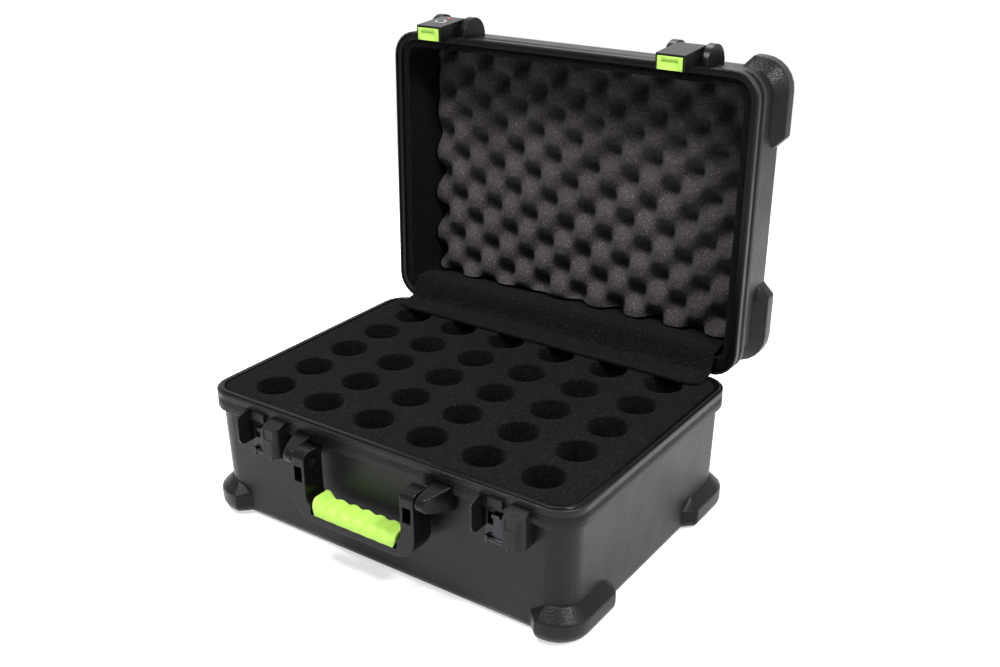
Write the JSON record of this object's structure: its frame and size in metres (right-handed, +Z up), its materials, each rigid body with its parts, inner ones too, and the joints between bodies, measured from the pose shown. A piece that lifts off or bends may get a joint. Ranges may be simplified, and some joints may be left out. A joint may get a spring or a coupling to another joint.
{
  "type": "microphone case",
  "caption": "Hard-shell case with a hinged lid, two latches, a drop handle and a drilled foam block that holds hand microphones upright.",
  "frame": {"origin": "on the ground under the middle of the base, at the base's flat underside", "axes": "+X along the width to the right as seen from the front, -Y to the front with the handle, +Z up; the lid stands open"},
  "size_m": [0.4624, 0.4515, 0.4874],
  "materials": {
    "moulded_shell": "black moulded polypropylene with a fine leather grain",
    "rim_gasket": "smooth black rubber",
    "foam": "open-cell charcoal foam",
    "lime_plastic": "lime green soft-touch plastic",
    "pin_steel": "bright drawn steel",
    "black_steel": "black plated steel",
    "nylon": "black glass-filled nylon",
    "red_plastic": "red gloss plastic"
  },
  "bodies": {
    "base": {"base_pad": "foam", "base_shell": "moulded_shell", "catch_pin_left": "pin_steel", "catch_pin_right": "pin_steel", "catch_plate_left": "black_steel", "catch_plate_right": "black_steel", "handle_mount_left": "nylon", "handle_mount_right": "nylon", "handle_pin_left": "pin_steel", "handle_pin_right": "pin_steel", "hinge_base_leaf_left": "black_steel", "hinge_base_leaf_right": "black_steel", "hinge_pin_left": "pin_steel", "hinge_pin_right": "pin_steel", "mic_foam": "foam", "rim_lip": "rim_gasket"},
    "handle": {"handle_frame": "nylon", "handle_grip": "lime_plastic"},
    "lid": {"hinge_lid_leaf_left": "black_steel", "hinge_lid_leaf_right": "black_steel", "latch_bracket_left": "nylon", "latch_bracket_right": "nylon", "latch_pin_left": "pin_steel", "latch_pin_right": "pin_steel", "lid_foam_front": "foam", "lid_foam_left": "foam", "lid_foam_rear": "foam", "lid_foam_right": "foam", "lid_seal": "rim_gasket", "lid_shell": "moulded_shell", "lid_wave_foam": "foam"},
    "catch_left": {"catch_hook_left": "black_steel"},
    "catch_right": {"catch_hook_right": "black_steel"},
    "latch_left": {"key_barrel": "pin_steel", "latch_arm_left": "nylon", "latch_claw_left": "pin_steel", "lock_indicator": "red_plastic"},
    "latch_right": {"latch_arm_right": "nylon", "latch_claw_right": "pin_steel"},
    "tab_left": {"latch_tab_left": "lime_plastic"},
    "tab_right": {"latch_tab_right": "lime_plastic"},
    "key": {"key_plug": "black_steel"}
  },
  "joints": [
    {"name": "lid_hinge", "type": "hinge", "parent": "base", "child": "lid", "pos_m": [0, 0.1635, 0.1414], "axis": [1, 0, 0], "range_deg": [0, 91]},
    {"name": "handle_swing", "type": "hinge", "parent": "base", "child": "handle", "pos_m": [0, -0.181, 0.1148], "axis": [-1, 0, 0], "range_deg": [0, 90]},
    {"name": "catch_hook_left_tilt", "type": "hinge", "parent": "base", "child": "catch_left", "pos_m": [-0.147, -0.1602, 0.089], "axis": [1, 0, 0], "range_deg": [0, 5]},
    {"name": "catch_hook_right_tilt", "type": "hinge", "parent": "base", "child": "catch_right", "pos_m": [0.147, -0.1602, 0.089], "axis": [1, 0, 0], "range_deg": [0, 5]},
    {"name": "latch_left_swing", "type": "hinge", "parent": "lid", "child": "latch_left", "pos_m": [-0.147, 0.17847, 0.47749], "axis": [-1, 0, 0], "range_deg": [0, 95]},
    {"name": "latch_right_swing", "type": "hinge", "parent": "lid", "child": "latch_right", "pos_m": [0.147, 0.17847, 0.47749], "axis": [-1, 0, 0], "range_deg": [0, 95]},
    {"name": "latch_left_tab_press", "type": "slide", "parent": "latch_left", "child": "tab_left", "axis": [0, 0.9998, -0.0175], "range_m": [0, 0.003], "stiffness_N_per_m": 200, "springref_m": -0.002},
    {"name": "latch_right_tab_press", "type": "slide", "parent": "latch_right", "child": "tab_right", "axis": [0, 0.9998, -0.0175], "range_m": [0, 0.003], "stiffness_N_per_m": 200, "springref_m": -0.002},
    {"name": "key_turn", "type": "hinge", "parent": "latch_left", "child": "key", "pos_m": [-0.147, 0.15609, 0.48458], "axis": [0, -0.0711, 0.9975], "range_deg": [0, 90]}
  ]
}
